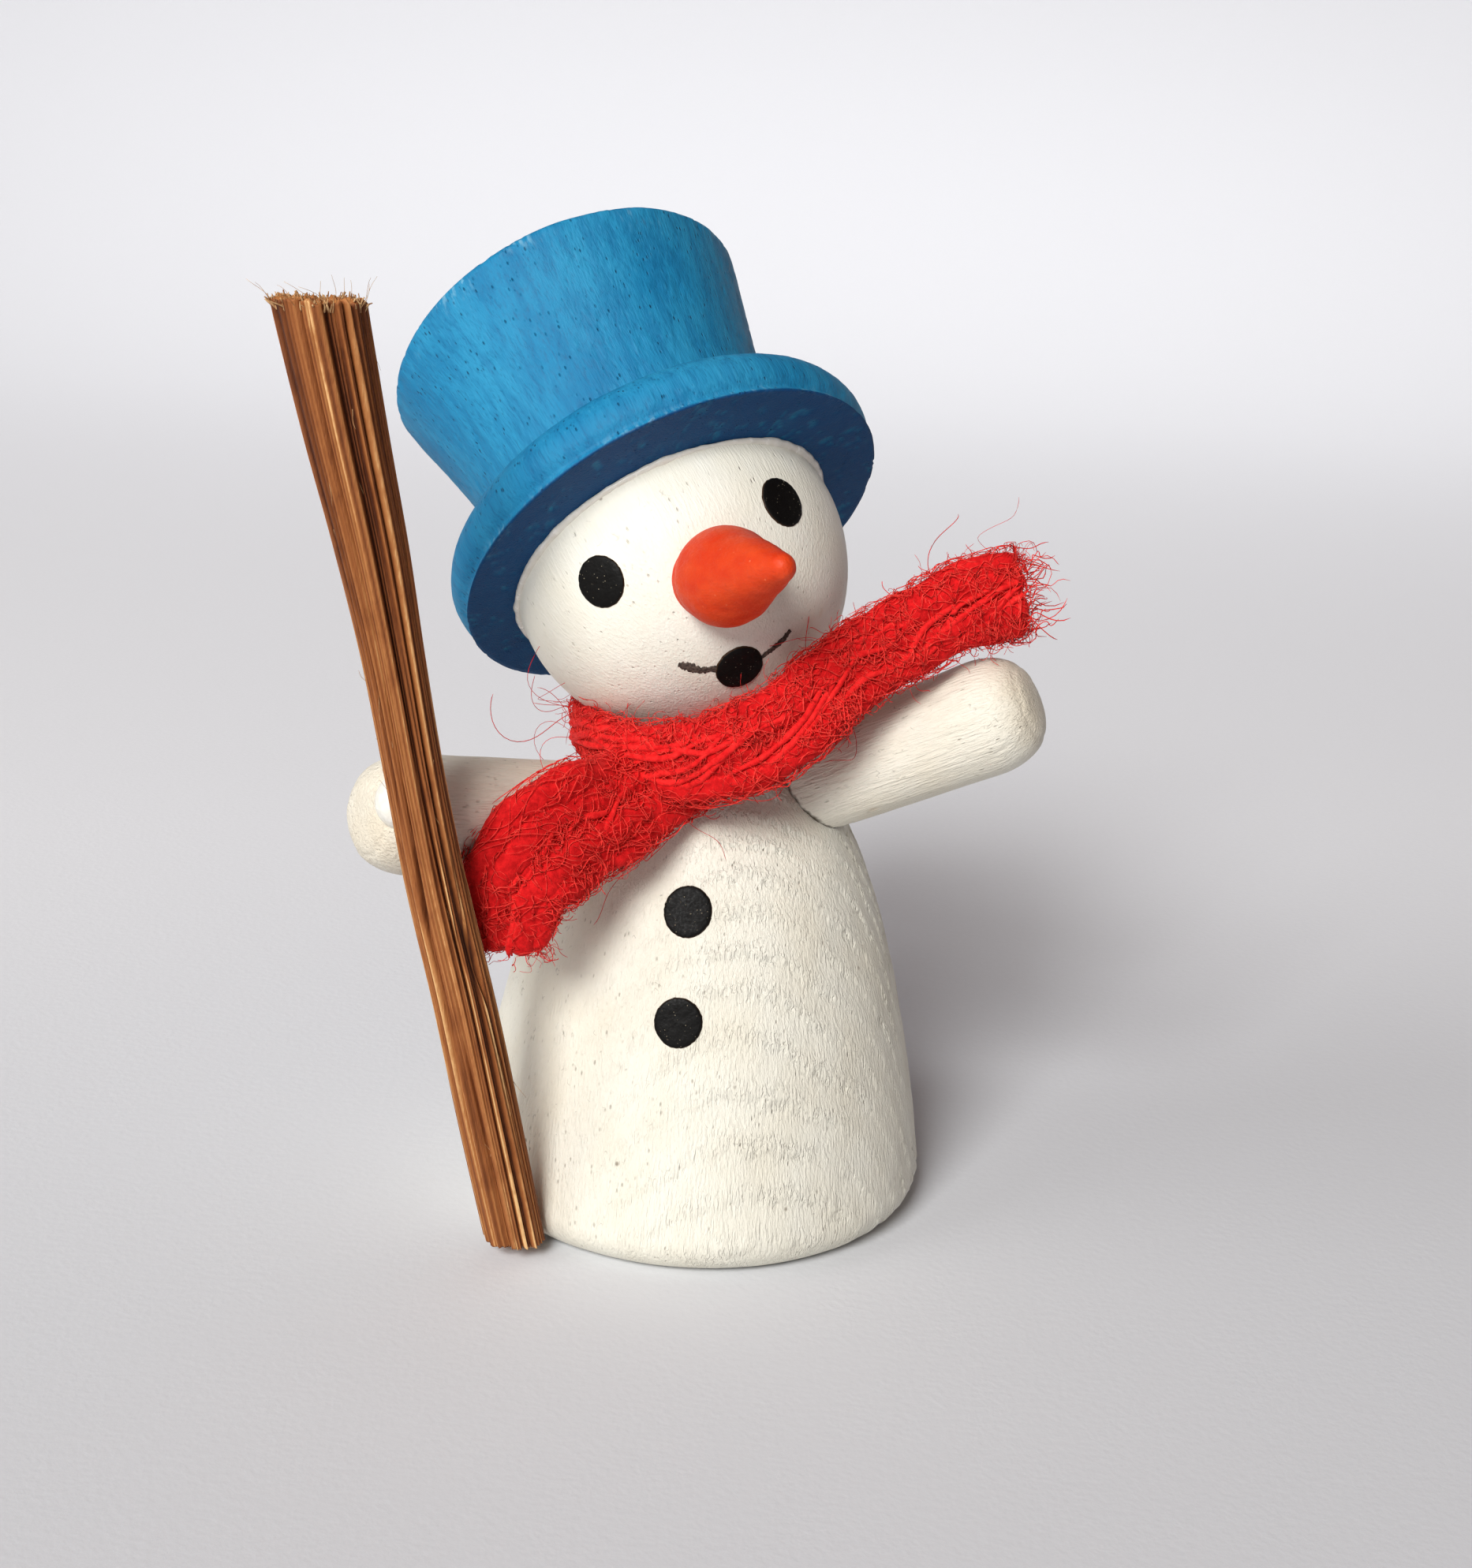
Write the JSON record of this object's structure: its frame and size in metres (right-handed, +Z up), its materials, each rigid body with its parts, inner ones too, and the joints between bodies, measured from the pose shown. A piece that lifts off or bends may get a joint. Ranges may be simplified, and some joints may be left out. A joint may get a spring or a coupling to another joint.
{
  "type": "wooden snowman figure",
  "caption": "Small standing wooden snowman figure with a tilted top hat, cone nose, dowel arms, a fibre broom and a woollen scarf.",
  "frame": {"origin": "centre of the body's flat base", "axes": "+Z up, the buttons face -Y, +X towards the raised arm's side"},
  "size_m": [0.0411, 0.0456, 0.0602],
  "materials": {
    "painted_body": "white paint over raised grain, satin",
    "painted_head": "smooth white paint, satin",
    "painted_arms": "white paint, satin",
    "hat_blue": "blue stain, the grain showing, satin",
    "nose_orange": "orange-red paint, matt",
    "black_dots": "black lacquer with fine specks",
    "marker_ink": "black marker ink",
    "broom_fibre": "dry brown plant fibre, ribbed",
    "scarf_wool": "red wool yarn, fuzzy",
    "glue": "clear dried craft glue"
  },
  "bodies": {
    "root": {"body": "painted_body", "head": "painted_head", "neck_glue": "glue", "hat": "hat_blue", "hat_glue": "glue", "nose": "nose_orange", "eye_left": "black_dots", "eye_right": "black_dots", "mouth_dot": "black_dots", "mouth_lines": "marker_ink", "button_upper": "black_dots", "button_lower": "black_dots", "arm_left": "painted_arms", "arm_right": "painted_arms", "broom": "broom_fibre", "hand_glue": "glue", "scarf": "scarf_wool"}
  },
  "joints": []
}
